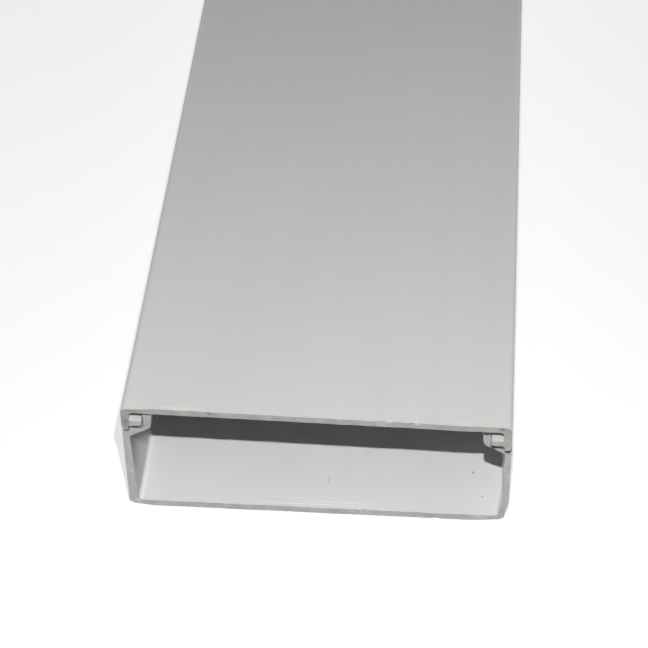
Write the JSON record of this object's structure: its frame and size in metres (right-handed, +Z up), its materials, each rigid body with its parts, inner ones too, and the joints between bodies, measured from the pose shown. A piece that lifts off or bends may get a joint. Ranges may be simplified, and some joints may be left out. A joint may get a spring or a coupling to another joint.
{
  "type": "cable trunking with clip-on lid",
  "caption": "Straight length of two-piece plastic cable trunking: a solid-walled U-shaped base with inset rims and a flat lid whose hooked skirts clip over them.",
  "frame": {"origin": "middle of the length and width, on the underside of the base", "axes": "+X across the width, +Y along the length from the front end to the far end, +Z up from the base's floor to the lid"},
  "size_m": [0.1, 2, 0.036],
  "materials": {
    "base_pvc": "extruded, satin",
    "lid_pvc": "extruded, satin"
  },
  "bodies": {
    "base": {"trunking_base": "base_pvc"},
    "lid": {"trunking_lid": "lid_pvc"}
  },
  "joints": [
    {"name": "lid_lift", "type": "slide", "parent": "base", "child": "lid", "axis": [0, 0, 1], "range_m": [0, 0.06]}
  ]
}
